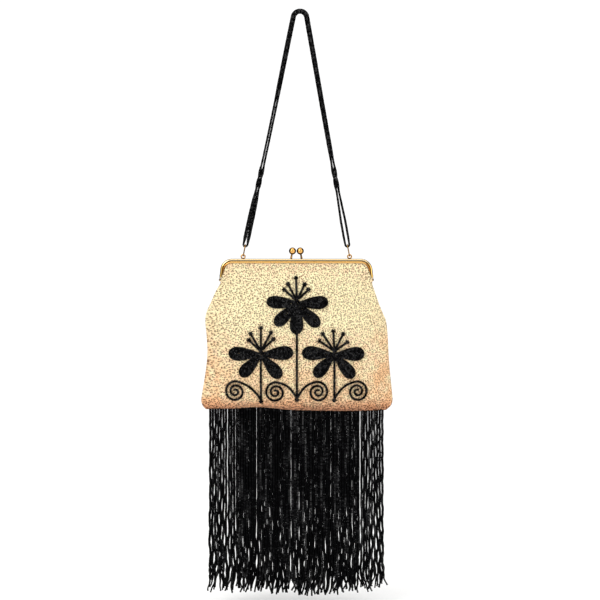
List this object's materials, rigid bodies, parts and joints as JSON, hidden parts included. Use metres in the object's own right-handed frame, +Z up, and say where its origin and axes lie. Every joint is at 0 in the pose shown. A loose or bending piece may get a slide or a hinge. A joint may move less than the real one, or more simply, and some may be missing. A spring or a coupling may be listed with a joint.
{
  "type": "beaded evening purse",
  "caption": "Linen clasp-frame evening purse with black seed bead flowers, long bead fringe and bead-string handle, hanging from the handle.",
  "frame": {"origin": "inside of the handle's bend, where the hook or hand that carries the purse bears", "axes": "+Z up, -Y towards the viewer of the embroidered front, +X to that viewer's right"},
  "size_m": [0.2103, 0.0396, 0.6437],
  "materials": {
    "linen": "natural slubbed plain weave, undyed",
    "gilt_metal": "polished gilt",
    "jet_beads": "opaque black glass seed beads, glossy"
  },
  "bodies": {
    "root": {"purse_body": "linen", "frame_front": "gilt_metal", "frame_back": "gilt_metal", "clasp_knob_front": "gilt_metal", "clasp_knob_back": "gilt_metal", "hinge_rivet_left": "gilt_metal", "hinge_rivet_right": "gilt_metal", "strap_link_left": "gilt_metal", "strap_link_right": "gilt_metal", "strap_loop_front": "jet_beads", "strap_loop_back": "jet_beads", "flower_left": "jet_beads", "flower_centre": "jet_beads", "flower_right": "jet_beads", "bead_fringe": "jet_beads"}
  },
  "joints": []
}
